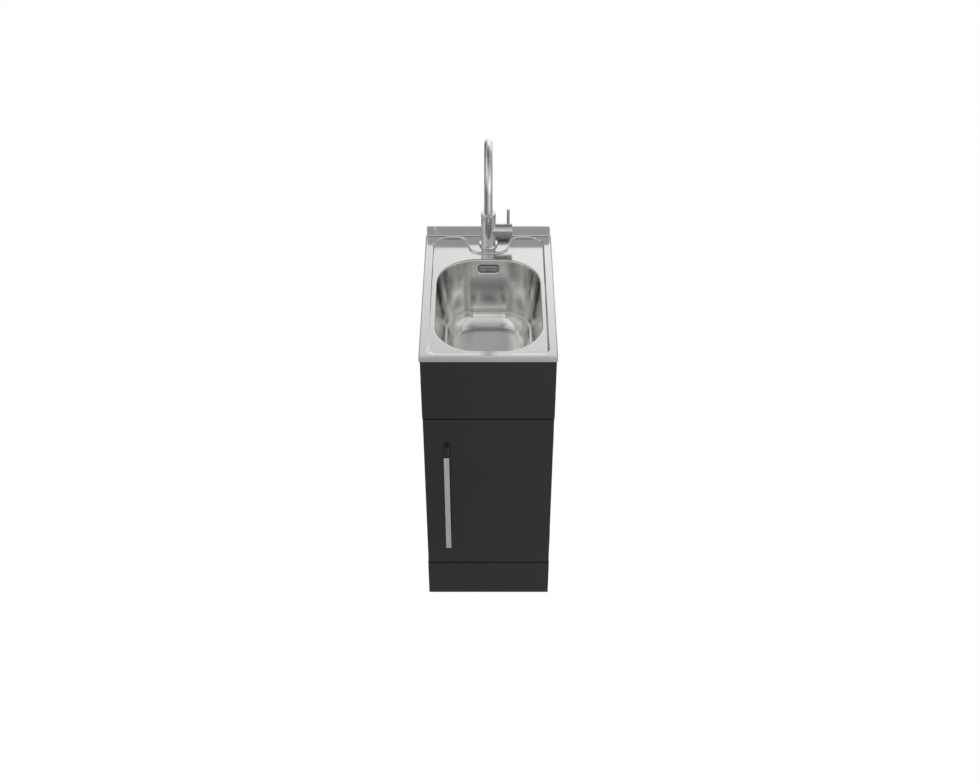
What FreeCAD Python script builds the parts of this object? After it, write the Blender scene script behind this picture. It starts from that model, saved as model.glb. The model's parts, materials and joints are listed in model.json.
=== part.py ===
import FreeCAD, Part
import math
import os

# Portable handwash sink: a narrow cabinet on levelling feet, a stainless sink
# top with one bowl, a side-lever tap with a swivel gooseneck, and inside the
# cabinet two water cans, a demand pump and the waste fittings.
# Millimetres, +Z up, the door faces -Y, the origin is on the floor under the
# middle of the whole unit.

V = FreeCAD.Vector
X_AXIS = (1, 0, 0)
Y_AXIS = (0, 1, 0)
Z_AXIS = (0, 0, 1)

# ---- driving dimensions: sink top ----
TOP_WIDTH = 350.0
TOP_DEPTH = 550.0
DECK_Z = 885.5
SHEET = 1.2
BACK_Y = 291.25
LIP_Y = BACK_Y - TOP_DEPTH
LIP_BOTTOM = 867.5
BEND_RADIUS = 5.0
UPSTAND_HEIGHT = 31.0
UPSTAND_THICKNESS = 5.0
UPSTAND_INSET = 2.0
UPSTAND_CORNER = 7.0
RECESS_DEPTH = 4.5
RECESS_HALF_WIDTH = 153.0
RECESS_FRONT_Y = LIP_Y + 15.0
RECESS_BACK_Y = 282.25
RECESS_CORNER = 40.0
RECESS_FRONT_CORNER = 14.0
LEDGE_OUTER_X = 83.0
LEDGE_OUTER_RADIUS = 20.0
LEDGE_INNER_RADIUS = 30.0
LEDGE_FRONT_Y = 203.25
LEDGE_SLANT = math.radians(14.4)

# ---- driving dimensions: bowl ----
BOWL_WIDTH = 278.0
BOWL_LENGTH = 404.0
BOWL_CORNER = 108.0
BOWL_Y = -28.25
BOWL_RIM_Z = DECK_Z - RECESS_DEPTH - SHEET
BOWL_RING_Z = DECK_Z - 164.0
BOWL_FLOOR_Z = DECK_Z - 203.0
BOWL_DRAFT = 22.0
BOWL_SLOPE = 32.0
BOWL_RING_CORNER = 88.0
BOWL_FLOOR_CORNER = 58.0
BOWL_FLANGE = 8.0
WASTE_FOOT_Z = 630.0
OVERFLOW_ENTRY_Z = 649.0
TRAP_BOTTOM = 577.0
TRAP_OUTLET_Z = 600.0
DRAIN_Y = -48.75
DRAIN_HOLE_RADIUS = 26.0

# ---- driving dimensions: overflow ----
OVERFLOW_Z = DECK_Z - 32.0
OVERFLOW_WIDTH = 60.0
OVERFLOW_HEIGHT = 28.0
OVERFLOW_HOSE_Y = 184.5

# ---- driving dimensions: cabinet ----
CABINET_WIDTH = 347.0
BOARD = 16.0
THIN_BOARD = 6.0
FRONT_Y = -256.25
DOOR_GAP = 2.0
PANEL_BACK_Y = FRONT_Y + BOARD
SIDE_FRONT_Y = PANEL_BACK_Y + DOOR_GAP
SIDE_BACK_Y = 286.25
SIDE_BOTTOM = 0.3
SIDE_TOP = 880.0
SIDE_OUT = CABINET_WIDTH / 2
SIDE_IN = SIDE_OUT - BOARD
SHELF_Z = 128.5
SHELF_TOP = SHELF_Z + BOARD
PLINTH_TOP = 125.5
FASCIA_BOTTOM = 675.0
FASCIA_TOP = 876.0
RAIL_Z = 674.0
RAIL_DEPTH = 40.0
REAR_RAIL_BOTTOM = 800.0
REAR_RAIL_TOP = 879.0
WALL_HOLE_X = 100.0
WALL_HOLE_Z = 840.0
WALL_HOLE_RADIUS = 3.5
SERVICE_HOLE = (-60.0, 50.0, 230.0, 320.0)

# ---- driving dimensions: feet and screws ----
FOOT_X = 120.0
FOOT_YS = (-200.0, 235.0)
FOOT_PAD_RADIUS = 24.0
FOOT_PAD_HEIGHT = 8.0
FOOT_LEG_RADIUS = 14.0
FOOT_LEG_TOP = 110.0
SCREW_RADIUS = 3.0
SCREW_HEAD_RADIUS = 5.0
SCREW_HEAD = 3.0
SCREW_LENGTH = 42.0
SCREW_PLACES = ((-150.0, 136.5), (150.0, 136.5), (-210.0, 682.0), (278.25, 860.0))

# ---- driving dimensions: door ----
DOOR_HALF_WIDTH = 172.0
DOOR_BOTTOM = 128.5
DOOR_TOP = 671.0
EDGE_ROUND = 0.8
HINGE_X = 172.0
HINGE_Y = -239.25
HINGE_ZS = (180.0, 560.0)
HINGE_LENGTH = 60.0
HINGE_KNUCKLES = 5
HINGE_LEAF = 0.9
HINGE_LEAF_X = 159.0
KNUCKLE_RADIUS = 2.0
HINGE_PIN_RADIUS = 1.0
HINGE_FIT = 0.05
REBATE_RADIUS = 2.2

# ---- driving dimensions: handle ----
HANDLE_X = -111.4
HANDLE_WIDTH = 14.5
HANDLE_THICKNESS = 10.0
HANDLE_FRONT_Y = -291.25
HANDLE_BOTTOM = 223.5
HANDLE_TOP = 565.5
POST_INSET = 14.0
POST_RADIUS = 6.0
HANDLE_SCREW_RADIUS = 2.0

# ---- driving dimensions: tap ----
TAP_Y = 246.25
TAP_HOLE_RADIUS = 16.5
TAP_BODY_RADIUS = 20.5
TAP_BODY_TOP = 103.0
TAP_FLANGE_RADIUS = 27.0
TAP_FLANGE_HEIGHT = 7.0
SHANK_RADIUS = 15.0
SHANK_BORE = 12.0
SHANK_LENGTH = 45.0
SPOUT_RADIUS = 11.0
SPOUT_WALL = 1.5
SPOUT_REACH = 85.0
SPOUT_ARC_Z = 270.0
SPOUT_END_Z = 238.0
SPOUT_SOCKET_DEPTH = 20.0
SPOUT_FIT = 0.05
AERATOR_END_Z = 210.0
AERATOR_RADIUS = 11.25
COLLAR_RADIUS = 13.0
COLLAR_HEIGHT = 1.5

# ---- driving dimensions: lever ----
LEVER_Z = 48.5
LEVER_PIVOT_X = 36.0
DOME_RADIUS = 17.15
HUB_RADIUS = 17.5
HUB_CAVITY = 17.4
HUB_START_X = 40.6
HUB_END_X = 66.0
DOME_BORE = 10.5
LEVER_PIN_X = 54.5
LEVER_PIN_RADIUS = 4.25
LEVER_PIN_TOP = 114.0
LEVER_PIN_FOOT = 60.0
TONGUE_RADIUS = 3.0
EYE_RADIUS = 3.6
PIVOT_RADIUS = 1.5
PIVOT_FIT = 0.05

# ---- driving dimensions: water side ----
CAN_WIDTH = 147.0
CAN_X = 79.5
CAN_FRONT_Y = -200.0
CAN_BACK_Y = 40.0
CAN_BODY_TOP = 470.0
CAN_WALL = 2.5
CAN_HANDLE_TOP = 520.0
CAN_NECK_Y = -165.0
CAN_NECK_RADIUS = 22.0
CAP_RADIUS = 28.0
CAP_BOTTOM = 484.0
CAP_TOP = 504.0
HOSE_RADIUS = 8.0
PUMP_Y = 160.0
PUMP_Z = 182.0
LEAD_RADIUS = 3.0


def box(x0, x1, y0, y1, z0, z1):
    return Part.makeBox(x1 - x0, y1 - y0, z1 - z0, V(x0, y0, z0))


def rod(radius, start, axis, length):
    return Part.makeCylinder(radius, length, V(*start), V(*axis))


def tube(outer, inner, start, axis, length):
    return rod(outer, start, axis, length).cut(rod(inner, start, axis, length))


def rounded_rect(width, depth, radius, z, y=0.0, x=0.0):
    """Closed wire of a rounded rectangle that lies flat at height z."""
    half_w = width / 2
    half_d = depth / 2
    diagonal = radius * (1 - math.sqrt(0.5))
    edges = []
    corners = ((1, 1), (-1, 1), (-1, -1), (1, -1))
    points = []
    for sign_x, sign_y in corners:
        side = V(x + sign_x * half_w, y + sign_y * (half_d - radius), z)
        middle = V(x + sign_x * (half_w - diagonal), y + sign_y * (half_d - diagonal), z)
        end = V(x + sign_x * (half_w - radius), y + sign_y * half_d, z)
        if sign_x * sign_y > 0:
            points.append((side, middle, end))
        else:
            points.append((end, middle, side))
    for index, (start, middle, end) in enumerate(points):
        edges.append(Part.Arc(start, middle, end).toShape())
        following = points[(index + 1) % 4][0]
        if end.distanceToPoint(following) > 1e-6:
            edges.append(Part.LineSegment(end, following).toShape())
    return Part.Wire(edges)


def prism(wire, height):
    return Part.Face(wire).extrude(V(0, 0, height))


def hose(points, radius):
    """Straight runs joined by tangent arcs, as wide as the runs allow."""
    corners = [V(*point) for point in points]
    edges = []
    start = corners[0]
    for index in range(1, len(corners) - 1):
        before = corners[index - 1] - corners[index]
        after = corners[index + 1] - corners[index]
        shorter = min(before.Length, after.Length)
        trim = 0.45 * shorter
        enter = corners[index] + before.normalize() * trim
        leave = corners[index] + after.normalize() * trim
        half = (math.pi - before.getAngle(after)) / 2
        bisector = (before + after).normalize()
        bend = trim / math.tan(half)
        inner = bend / math.cos(half) - bend
        middle = corners[index] + bisector * inner
        edges.append(Part.LineSegment(start, enter).toShape())
        edges.append(Part.Arc(enter, middle, leave).toShape())
        start = leave
    edges.append(Part.LineSegment(start, corners[-1]).toShape())
    path = Part.Wire(edges)
    first = edges[0]
    direction = first.tangentAt(first.FirstParameter)
    section = Part.Wire(Part.makeCircle(radius, corners[0], direction))
    solids = path.makePipeShell([section], True, True)
    expected = math.pi * radius ** 2 * path.Length
    print("hose length %.0f, volume ratio %.4f" % (path.Length, solids.Volume / expected))
    return solids


def save(name, *solids):
    shape = solids[0] if len(solids) == 1 else Part.makeCompound(list(solids))
    shape.exportStep("parts/%s.step" % name)


def mirrored(shape):
    return shape.mirror(V(0, 0, 0), V(1, 0, 0))


def screw_holes(side):
    """Shank and head bores of the cabinet screws that enter one side panel."""
    cutters = []
    for y, z in SCREW_PLACES:
        head_x = SIDE_OUT - SCREW_HEAD
        shank_x = SIDE_OUT - SCREW_LENGTH
        head = rod(SCREW_HEAD_RADIUS, (head_x, y, z), X_AXIS, SCREW_HEAD)
        shank = rod(SCREW_RADIUS, (shank_x, y, z), X_AXIS, head_x - shank_x)
        cutters.append(head.fuse(shank))
    tool = Part.makeCompound(cutters)
    return tool if side > 0 else mirrored(tool)


def make_cabinet():
    screws_right = screw_holes(1)
    screws_left = screw_holes(-1)
    side = box(SIDE_IN, SIDE_OUT, SIDE_FRONT_Y, SIDE_BACK_Y, SIDE_BOTTOM, SIDE_TOP)
    right = side.cut(screws_right)
    for z in HINGE_ZS:
        right = right.cut(rod(REBATE_RADIUS, (HINGE_X, HINGE_Y, z - 1), Z_AXIS, HINGE_LENGTH + 2))
    save("side_panel_right", right)
    save("side_panel_left", mirrored(side).cut(screws_left))

    shelf = box(-SIDE_IN, SIDE_IN, SIDE_FRONT_Y, 280.0, SHELF_Z, SHELF_TOP)
    save("base_shelf", shelf.cut(screws_right).cut(screws_left))
    front_rail = box(-SIDE_IN, SIDE_IN, PANEL_BACK_Y, PANEL_BACK_Y + RAIL_DEPTH, RAIL_Z, RAIL_Z + BOARD)
    save("front_rail", front_rail.cut(screws_right).cut(screws_left))
    rear_y = SIDE_BACK_Y - BOARD
    rear_rail = box(-SIDE_IN, SIDE_IN, rear_y, SIDE_BACK_Y, REAR_RAIL_BOTTOM, REAR_RAIL_TOP)
    for x in (-WALL_HOLE_X, WALL_HOLE_X):
        rear_rail = rear_rail.cut(rod(WALL_HOLE_RADIUS, (x, rear_y - 1, WALL_HOLE_Z), Y_AXIS, BOARD + 2))
    save("rear_rail", rear_rail.cut(screws_right).cut(screws_left))

    back_y = SIDE_BACK_Y - THIN_BOARD
    back = box(-SIDE_IN, SIDE_IN, back_y, SIDE_BACK_Y, SHELF_Z, REAR_RAIL_BOTTOM)
    x0, x1, z0, z1 = SERVICE_HOLE
    window = box(x0, x1, back_y - 1, SIDE_BACK_Y + 1, z0, z1)
    window = window.makeFillet(15.0, [e for e in window.Edges if abs(e.tangentAt(e.FirstParameter).y) > 0.9])
    socket_hole = rod(15.0, (100.0, back_y - 1, 200.0), Y_AXIS, THIN_BOARD + 2)
    save("back_panel", back.cut(window).cut(socket_hole))

    save("fascia_panel", box(-SIDE_OUT, SIDE_OUT, FRONT_Y, PANEL_BACK_Y, FASCIA_BOTTOM, FASCIA_TOP))
    save("plinth_panel", box(-SIDE_OUT, SIDE_OUT, FRONT_Y, PANEL_BACK_Y, SIDE_BOTTOM, PLINTH_TOP))

    brackets = []
    for z in (700.0, 790.0):
        on_side = box(SIDE_IN - 2.0, SIDE_IN, PANEL_BACK_Y, -205.0, z, z + 40.0)
        on_front = box(SIDE_IN - 26.0, SIDE_IN, PANEL_BACK_Y, SIDE_FRONT_Y, z, z + 40.0)
        angle = on_side.fuse(on_front).removeSplitter()
        brackets += [angle, mirrored(angle)]
    save("fascia_brackets", *brackets)

    screws = []
    for y, z in SCREW_PLACES:
        head = rod(SCREW_HEAD_RADIUS - 0.05, (SIDE_OUT - SCREW_HEAD, y, z), X_AXIS, SCREW_HEAD - 0.2)
        shank = rod(SCREW_RADIUS - 0.05, (SIDE_OUT - SCREW_LENGTH, y, z), X_AXIS, SCREW_LENGTH - SCREW_HEAD)
        socket = box(SIDE_OUT - 2.2, SIDE_OUT, y - 1.8, y + 1.8, z - 1.8, z + 1.8)
        screw = head.fuse(shank).cut(socket)
        screws += [screw, mirrored(screw)]
    save("cabinet_screws", *screws)

    strip = box(SIDE_IN + 0.5, SIDE_IN + 10.5, -225.0, 275.0, SIDE_TOP, DECK_Z - SHEET)
    save("bedding_strips", strip, mirrored(strip))

    catch = box(-100.0, -60.0, -238.85, -214.0, RAIL_Z - 14.0, RAIL_Z)
    save("magnetic_catch", catch)


def make_feet():
    sockets = []
    feet = []
    for x in (-FOOT_X, FOOT_X):
        for y in FOOT_YS:
            plate = rod(28.0, (x, y, SHELF_Z - 4.0), Z_AXIS, 4.0)
            sleeve = tube(18.0, FOOT_LEG_RADIUS + 0.05, (x, y, 88.0), Z_AXIS, SHELF_Z - 4.0 - 88.0)
            sockets.append(plate.fuse(sleeve))
            pad = rod(FOOT_PAD_RADIUS, (x, y, 0.0), Z_AXIS, FOOT_PAD_HEIGHT)
            leg = rod(FOOT_LEG_RADIUS, (x, y, FOOT_PAD_HEIGHT), Z_AXIS, FOOT_LEG_TOP - FOOT_PAD_HEIGHT)
            feet.append(pad.fuse(leg))
    save("foot_sockets", *sockets)
    save("levelling_feet", *feet)
    clips = []
    for x in (-FOOT_X, FOOT_X):
        y = FOOT_YS[0]
        block = box(x - 17.0, x + 17.0, PANEL_BACK_Y, y + 6.0, 46.0, 70.0)
        clips.append(block.cut(rod(FOOT_LEG_RADIUS + 0.1, (x, y, 45.0), Z_AXIS, 26.0)))
    save("plinth_clips", *clips)


def make_hinges():
    rear_leaves = []
    door_leaves = []
    pins = []
    step = HINGE_LENGTH / HINGE_KNUCKLES
    gap = 0.15
    for base in HINGE_ZS:
        leaves = []
        for leaf_y in (SIDE_FRONT_Y - HINGE_LEAF, PANEL_BACK_Y):
            wanted = len(leaves)
            leaf_end = HINGE_X - REBATE_RADIUS - gap
            leaf = box(HINGE_LEAF_X, leaf_end, leaf_y, leaf_y + HINGE_LEAF, base, base + HINGE_LENGTH)
            for index in range(HINGE_KNUCKLES):
                if index % 2 != wanted:
                    continue
                z0 = base + index * step + gap
                z1 = base + (index + 1) * step - gap
                knuckle = rod(KNUCKLE_RADIUS, (HINGE_X, HINGE_Y, z0), Z_AXIS, z1 - z0)
                arm = box(HINGE_LEAF_X + 2.0, HINGE_X, leaf_y, leaf_y + HINGE_LEAF, z0, z1)
                leaf = leaf.fuse(knuckle).fuse(arm)
            radius = HINGE_PIN_RADIUS + HINGE_FIT
            bore = rod(radius, (HINGE_X, HINGE_Y, base - 1), Z_AXIS, HINGE_LENGTH + 2)
            leaves.append(leaf.removeSplitter().cut(bore))
        rear_leaves.append(leaves[0])
        door_leaves.append(leaves[1])
        pins.append(rod(HINGE_PIN_RADIUS, (HINGE_X, HINGE_Y, base + gap), Z_AXIS, HINGE_LENGTH - 2 * gap))
    save("hinge_cabinet_leaves", *rear_leaves)
    save("hinge_door_leaves", *door_leaves)
    save("hinge_pins", *pins)


def make_door():
    posts_z = (HANDLE_BOTTOM + POST_INSET, HANDLE_TOP - POST_INSET)
    door = box(-DOOR_HALF_WIDTH, DOOR_HALF_WIDTH, FRONT_Y, PANEL_BACK_Y, DOOR_BOTTOM, DOOR_TOP)
    front_edges = [e for e in door.Edges if abs(e.CenterOfMass.y - FRONT_Y) < 1e-6]
    door = door.makeFillet(EDGE_ROUND, front_edges)
    for z in HINGE_ZS:
        door = door.cut(rod(REBATE_RADIUS, (HINGE_X, HINGE_Y, z - 1), Z_AXIS, HINGE_LENGTH + 2))
    for z in posts_z:
        door = door.cut(rod(HANDLE_SCREW_RADIUS, (HANDLE_X, FRONT_Y - 1, z), Y_AXIS, BOARD + 2))
    save("door_panel", door)

    bar_back = HANDLE_FRONT_Y + HANDLE_THICKNESS
    half = HANDLE_WIDTH / 2
    bar = box(HANDLE_X - half, HANDLE_X + half, HANDLE_FRONT_Y, bar_back, HANDLE_BOTTOM, HANDLE_TOP)
    save("handle_bar", bar.makeFillet(0.8, bar.Edges))

    posts = []
    screws = []
    for z in posts_z:
        post = rod(POST_RADIUS, (HANDLE_X, bar_back, z), Y_AXIS, FRONT_Y - bar_back)
        posts.append(post.cut(rod(HANDLE_SCREW_RADIUS, (HANDLE_X, FRONT_Y - 13.0, z), Y_AXIS, 14.0)))
        shank = rod(HANDLE_SCREW_RADIUS - 0.05, (HANDLE_X, FRONT_Y - 12.0, z), Y_AXIS, BOARD + 12.0)
        head = rod(4.0, (HANDLE_X, PANEL_BACK_Y, z), Y_AXIS, 2.2)
        cross = box(HANDLE_X - 0.6, HANDLE_X + 0.6, PANEL_BACK_Y + 1.0, PANEL_BACK_Y + 3.0, z - 2.5, z + 2.5)
        screws.append(shank.fuse(head).cut(cross))
    save("handle_posts", *posts)
    save("handle_screws", *screws)

    save("catch_strike", box(-98.0, -62.0, PANEL_BACK_Y, PANEL_BACK_Y + 1.2, 660.5, 670.5))
    bumpers = [rod(4.0, (-165.0, PANEL_BACK_Y, z), Y_AXIS, 1.8) for z in (150.0, 650.0)]
    save("door_bumpers", *bumpers)


def recess_outline(inset):
    """Outer or inset outline of the pressed recess, with the tap ledge left high."""
    half = RECESS_HALF_WIDTH - inset
    front = RECESS_FRONT_Y + inset
    back = RECESS_BACK_Y - inset
    corner = RECESS_CORNER - inset
    small = RECESS_FRONT_CORNER - inset
    outer = LEDGE_OUTER_RADIUS - inset
    inner = LEDGE_INNER_RADIUS + inset
    outer_y = RECESS_BACK_Y - LEDGE_OUTER_RADIUS
    slant = LEDGE_SLANT
    run_y = outer_y + LEDGE_OUTER_RADIUS * math.sin(slant)
    inner_y = LEDGE_FRONT_Y + LEDGE_INNER_RADIUS
    drop = run_y - (inner_y - LEDGE_INNER_RADIUS * math.sin(slant))
    reach = (LEDGE_OUTER_RADIUS + LEDGE_INNER_RADIUS) * math.cos(slant) + drop * math.tan(slant)
    inner_x = LEDGE_OUTER_X - reach

    def arc(cx, cy, radius, start, end):
        angles = (start, (start + end) / 2, end)
        points = [V(cx + radius * math.cos(a), cy + radius * math.sin(a), 0) for a in angles]
        return Part.Arc(*points).toShape()

    quarter = math.pi / 2
    right_side = [
        arc(half - small, front + small, small, -quarter, 0.0),
        arc(half - corner, back - corner, corner, 0.0, quarter),
        arc(LEDGE_OUTER_X, outer_y, outer, quarter, math.pi - slant),
        arc(inner_x, inner_y, inner, -slant, -quarter),
    ]
    edges = []
    previous = V(-(half - small), front, 0)
    for piece in right_side:
        start = piece.valueAt(piece.FirstParameter)
        end = piece.valueAt(piece.LastParameter)
        if start.distanceToPoint(previous) > end.distanceToPoint(previous):
            start, end = end, start
        edges.append(Part.LineSegment(previous, start).toShape())
        edges.append(piece)
        previous = end
    edges.append(Part.LineSegment(previous, V(-previous.x, previous.y, 0)).toShape())
    mirrored_edges = [mirrored(edge) for edge in edges[1:-1]]
    return Part.Wire(Part.__sortEdges__(edges + mirrored_edges))


def make_deck():
    half = TOP_WIDTH / 2
    outer = box(-half, half, LIP_Y, BACK_Y, LIP_BOTTOM, DECK_Z)
    inner = box(-half + SHEET, half - SHEET, LIP_Y + SHEET, BACK_Y + 1, LIP_BOTTOM - 1, DECK_Z - SHEET)

    def top_edges(shape, top, back):
        chosen = []
        for edge in shape.Edges:
            middle = edge.CenterOfMass
            if abs(middle.z - top) < 1e-6 and middle.y < back - 1e-3:
                chosen.append(edge)
        return chosen

    outer = outer.makeFillet(BEND_RADIUS, top_edges(outer, DECK_Z, BACK_Y))
    inner = inner.makeFillet(BEND_RADIUS - SHEET, top_edges(inner, DECK_Z - SHEET, BACK_Y + 1))
    deck = outer.cut(inner)

    floor_z = DECK_Z - RECESS_DEPTH
    outline = recess_outline(0.0)
    outline.translate(V(0, 0, floor_z - SHEET))
    pressed = prism(outline, RECESS_DEPTH + SHEET)
    hollow = recess_outline(SHEET)
    hollow.translate(V(0, 0, floor_z))
    deck = deck.cut(pressed).fuse(pressed.cut(prism(hollow, RECESS_DEPTH + 1)))

    opening = rounded_rect(BOWL_WIDTH, BOWL_LENGTH, BOWL_CORNER, floor_z - 5, BOWL_Y)
    deck = deck.cut(prism(opening, 15.0))
    deck = deck.cut(rod(TAP_HOLE_RADIUS, (0, TAP_Y, DECK_Z - 10), Z_AXIS, 20.0))

    wide = half - UPSTAND_INSET
    wall_y = BACK_Y - UPSTAND_THICKNESS
    wall = box(-wide, wide, wall_y, BACK_Y, DECK_Z - SHEET, DECK_Z + UPSTAND_HEIGHT)
    corners = []
    for edge in wall.Edges:
        middle = edge.CenterOfMass
        if abs(middle.z - DECK_Z - UPSTAND_HEIGHT) < 1e-6 and abs(abs(middle.x) - wide) < 1e-6:
            corners.append(edge)
    wall = wall.makeFillet(UPSTAND_CORNER, corners)
    fold_top = DECK_Z + UPSTAND_HEIGHT - 8.0
    fold = box(-wide + SHEET, wide - SHEET, wall_y + SHEET, BACK_Y - SHEET, DECK_Z - 5, fold_top)
    deck = deck.fuse(wall).cut(fold)
    save("sink_deck", deck.removeSplitter())


def bowl_form(offset):
    """The bowl's inner form, or its outer form when offset by the sheet."""
    grow = 2 * offset
    rim = rounded_rect(BOWL_WIDTH + grow, BOWL_LENGTH + grow, BOWL_CORNER + offset, BOWL_RIM_Z, BOWL_Y)
    ring_z = BOWL_RING_Z - offset / 2
    width = BOWL_WIDTH - 2 * BOWL_DRAFT + grow
    length = BOWL_LENGTH - 2 * BOWL_DRAFT + grow
    ring = rounded_rect(width, length, BOWL_RING_CORNER + offset, ring_z, BOWL_Y)
    floor_w = width - 2 * BOWL_SLOPE
    floor_l = length - 2 * BOWL_SLOPE
    floor = rounded_rect(floor_w, floor_l, BOWL_FLOOR_CORNER + offset, BOWL_FLOOR_Z - offset, BOWL_Y)
    upper = Part.makeLoft([rim, ring], True, True)
    lower = Part.makeLoft([ring, floor], True, True)
    return upper.fuse(lower)


def make_bowl():
    outer = bowl_form(SHEET)
    inner = bowl_form(0.0)
    grow = 2 * BOWL_FLANGE
    corner = BOWL_CORNER + BOWL_FLANGE
    collar = rounded_rect(BOWL_WIDTH + grow, BOWL_LENGTH + grow, corner, BOWL_RIM_Z - SHEET, BOWL_Y)
    bowl = outer.fuse(prism(collar, SHEET)).cut(inner)
    bowl = bowl.cut(rod(DRAIN_HOLE_RADIUS, (0, DRAIN_Y, BOWL_FLOOR_Z - 20), Z_AXIS, 40.0))
    back = BOWL_Y + BOWL_LENGTH / 2
    window = rounded_slot(OVERFLOW_WIDTH, OVERFLOW_HEIGHT, 7.0, back - 12.0, back + 6.0)
    save("sink_bowl", bowl.cut(window).removeSplitter())

    chamber_bottom = OVERFLOW_Z - OVERFLOW_HEIGHT / 2 - 3.0
    chamber_top = BOWL_RIM_Z - SHEET - 2.0
    chamber = box(-33.0, 33.0, back - 8.0, back + 24.0, chamber_bottom, chamber_top)
    hollow = box(-30.5, 30.5, back - 9.0, back + 21.0, chamber_bottom + 2.0, chamber_top - 2.0)
    spigot = rod(9.0, (0, OVERFLOW_HOSE_Y, chamber_bottom - 14.0), Z_AXIS, 15.0)
    bore = rod(7.0, (0, OVERFLOW_HOSE_Y, chamber_bottom - 15.0), Z_AXIS, 20.0)
    chamber = chamber.cut(hollow).fuse(spigot).cut(bore)
    save("overflow_elbow", chamber.cut(outer))

    plate = rounded_slot(OVERFLOW_WIDTH - 6.0, OVERFLOW_HEIGHT - 6.0, 5.0, back - 3.4, back - 1.4)
    stud = rod(3.0, (0, back - 2.0, OVERFLOW_Z), Y_AXIS, 23.0)
    save("overflow_plate", plate.fuse(stud))

    start_z = chamber_bottom - 14.0
    route = [(0, OVERFLOW_HOSE_Y, start_z), (0, OVERFLOW_HOSE_Y, 730), (0, 160, 660)]
    route += [(0, 70, OVERFLOW_ENTRY_Z), (0, 2, OVERFLOW_ENTRY_Z)]
    save("overflow_hose", hose(route, 9.0))


def rounded_slot(width, height, radius, y0, y1):
    """Upright rounded rectangle at the overflow height, from y0 back to y1."""
    block = box(-width / 2, width / 2, y0, y1, OVERFLOW_Z - height / 2, OVERFLOW_Z + height / 2)
    corners = [e for e in block.Edges if abs(e.tangentAt(e.FirstParameter).y) > 0.9]
    return block.makeFillet(radius, corners)


def make_waste():
    centre = (0, DRAIN_Y)
    floor = BOWL_FLOOR_Z
    under = floor - SHEET
    dish = Part.makeCone(30.0, 36.0, 1.4, V(0, DRAIN_Y, floor + 0.8))
    flange = rod(40.0, (*centre, floor), Z_AXIS, 2.2).cut(dish)
    throat = rod(25.5, (*centre, WASTE_FOOT_Z), Z_AXIS, floor - WASTE_FOOT_Z)
    spigot = rod(9.0, (0, DRAIN_Y + 20.0, OVERFLOW_ENTRY_Z), Y_AXIS, 30.75)
    bore = rod(23.0, (*centre, WASTE_FOOT_Z - 5.0), Z_AXIS, 80.0)
    side_bore = rod(7.0, (0, DRAIN_Y + 10.0, OVERFLOW_ENTRY_Z), Y_AXIS, 45.0)
    save("waste_flange", flange.fuse(throat).fuse(spigot).cut(bore).cut(side_bore).removeSplitter())
    save("waste_gasket", tube(36.0, 25.6, (*centre, under - 3.0), Z_AXIS, 3.0))
    nut_z = under - 14.3
    nut = tube(35.0, 25.6, (*centre, nut_z), Z_AXIS, 11.3)
    for index in range(8):
        angle = math.radians(22.5 + 45 * index)
        x = 36.5 * math.cos(angle)
        y = DRAIN_Y + 36.5 * math.sin(angle)
        nut = nut.cut(rod(4.0, (x, y, nut_z - 1.0), Z_AXIS, 15.0))
    save("waste_backnut", nut)

    rim = rod(29.0, (*centre, floor + 0.9), Z_AXIS, 1.6)
    cup = rod(22.0, (*centre, floor - 28.0), Z_AXIS, 29.5)
    well = rod(20.8, (*centre, floor - 26.8), Z_AXIS, 40.0)
    basket = rim.fuse(cup).cut(well)
    for index in range(6):
        slot = box(7.0, 18.0, DRAIN_Y - 1.5, DRAIN_Y + 1.5, floor - 30.0, floor - 24.0)
        slot.rotate(V(0, DRAIN_Y, 0), V(0, 0, 1), 60.0 * index)
        basket = basket.cut(slot)
    knob = rod(3.0, (*centre, floor - 27.5), Z_AXIS, 20.0)
    knob = knob.fuse(Part.makeSphere(5.0, V(0, DRAIN_Y, floor - 6.0)))
    save("strainer_basket", basket.fuse(knob))

    trap = rod(30.0, (*centre, TRAP_BOTTOM), Z_AXIS, WASTE_FOOT_Z - TRAP_BOTTOM)
    outlet = rod(14.0, (20.0, DRAIN_Y, TRAP_OUTLET_Z), X_AXIS, 22.0)
    trap = trap.fuse(outlet).cut(rod(26.5, (*centre, TRAP_BOTTOM - 1.0), Z_AXIS, 50.0))
    trap = trap.cut(rod(23.0, (*centre, WASTE_FOOT_Z - 5.0), Z_AXIS, 6.0))
    trap = trap.cut(rod(10.0, (15.0, DRAIN_Y, TRAP_OUTLET_Z), X_AXIS, 30.0))
    save("trap_body", trap)
    cup_z = TRAP_BOTTOM - 47.0
    cup = rod(32.0, (*centre, cup_z), Z_AXIS, 47.0).cut(rod(26.5, (*centre, cup_z + 4.0), Z_AXIS, 50.0))
    for index in range(12):
        angle = math.radians(30 * index)
        x = 33.5 * math.cos(angle)
        y = DRAIN_Y + 33.5 * math.sin(angle)
        cup = cup.cut(rod(3.0, (x, y, cup_z - 1.0), Z_AXIS, 60.0))
    save("trap_cup", cup)
    route = [(42.0, DRAIN_Y, TRAP_OUTLET_Z), (74.0, DRAIN_Y, TRAP_OUTLET_Z)]
    route += [(CAN_X + 6, -95.0, 590.0), (CAN_X + 2, -145.0, 577.0)]
    route += [(CAN_X, CAN_NECK_Y, 540.0), (CAN_X, CAN_NECK_Y, CAP_TOP)]
    save("waste_hose", hose(route, 12.0))


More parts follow.
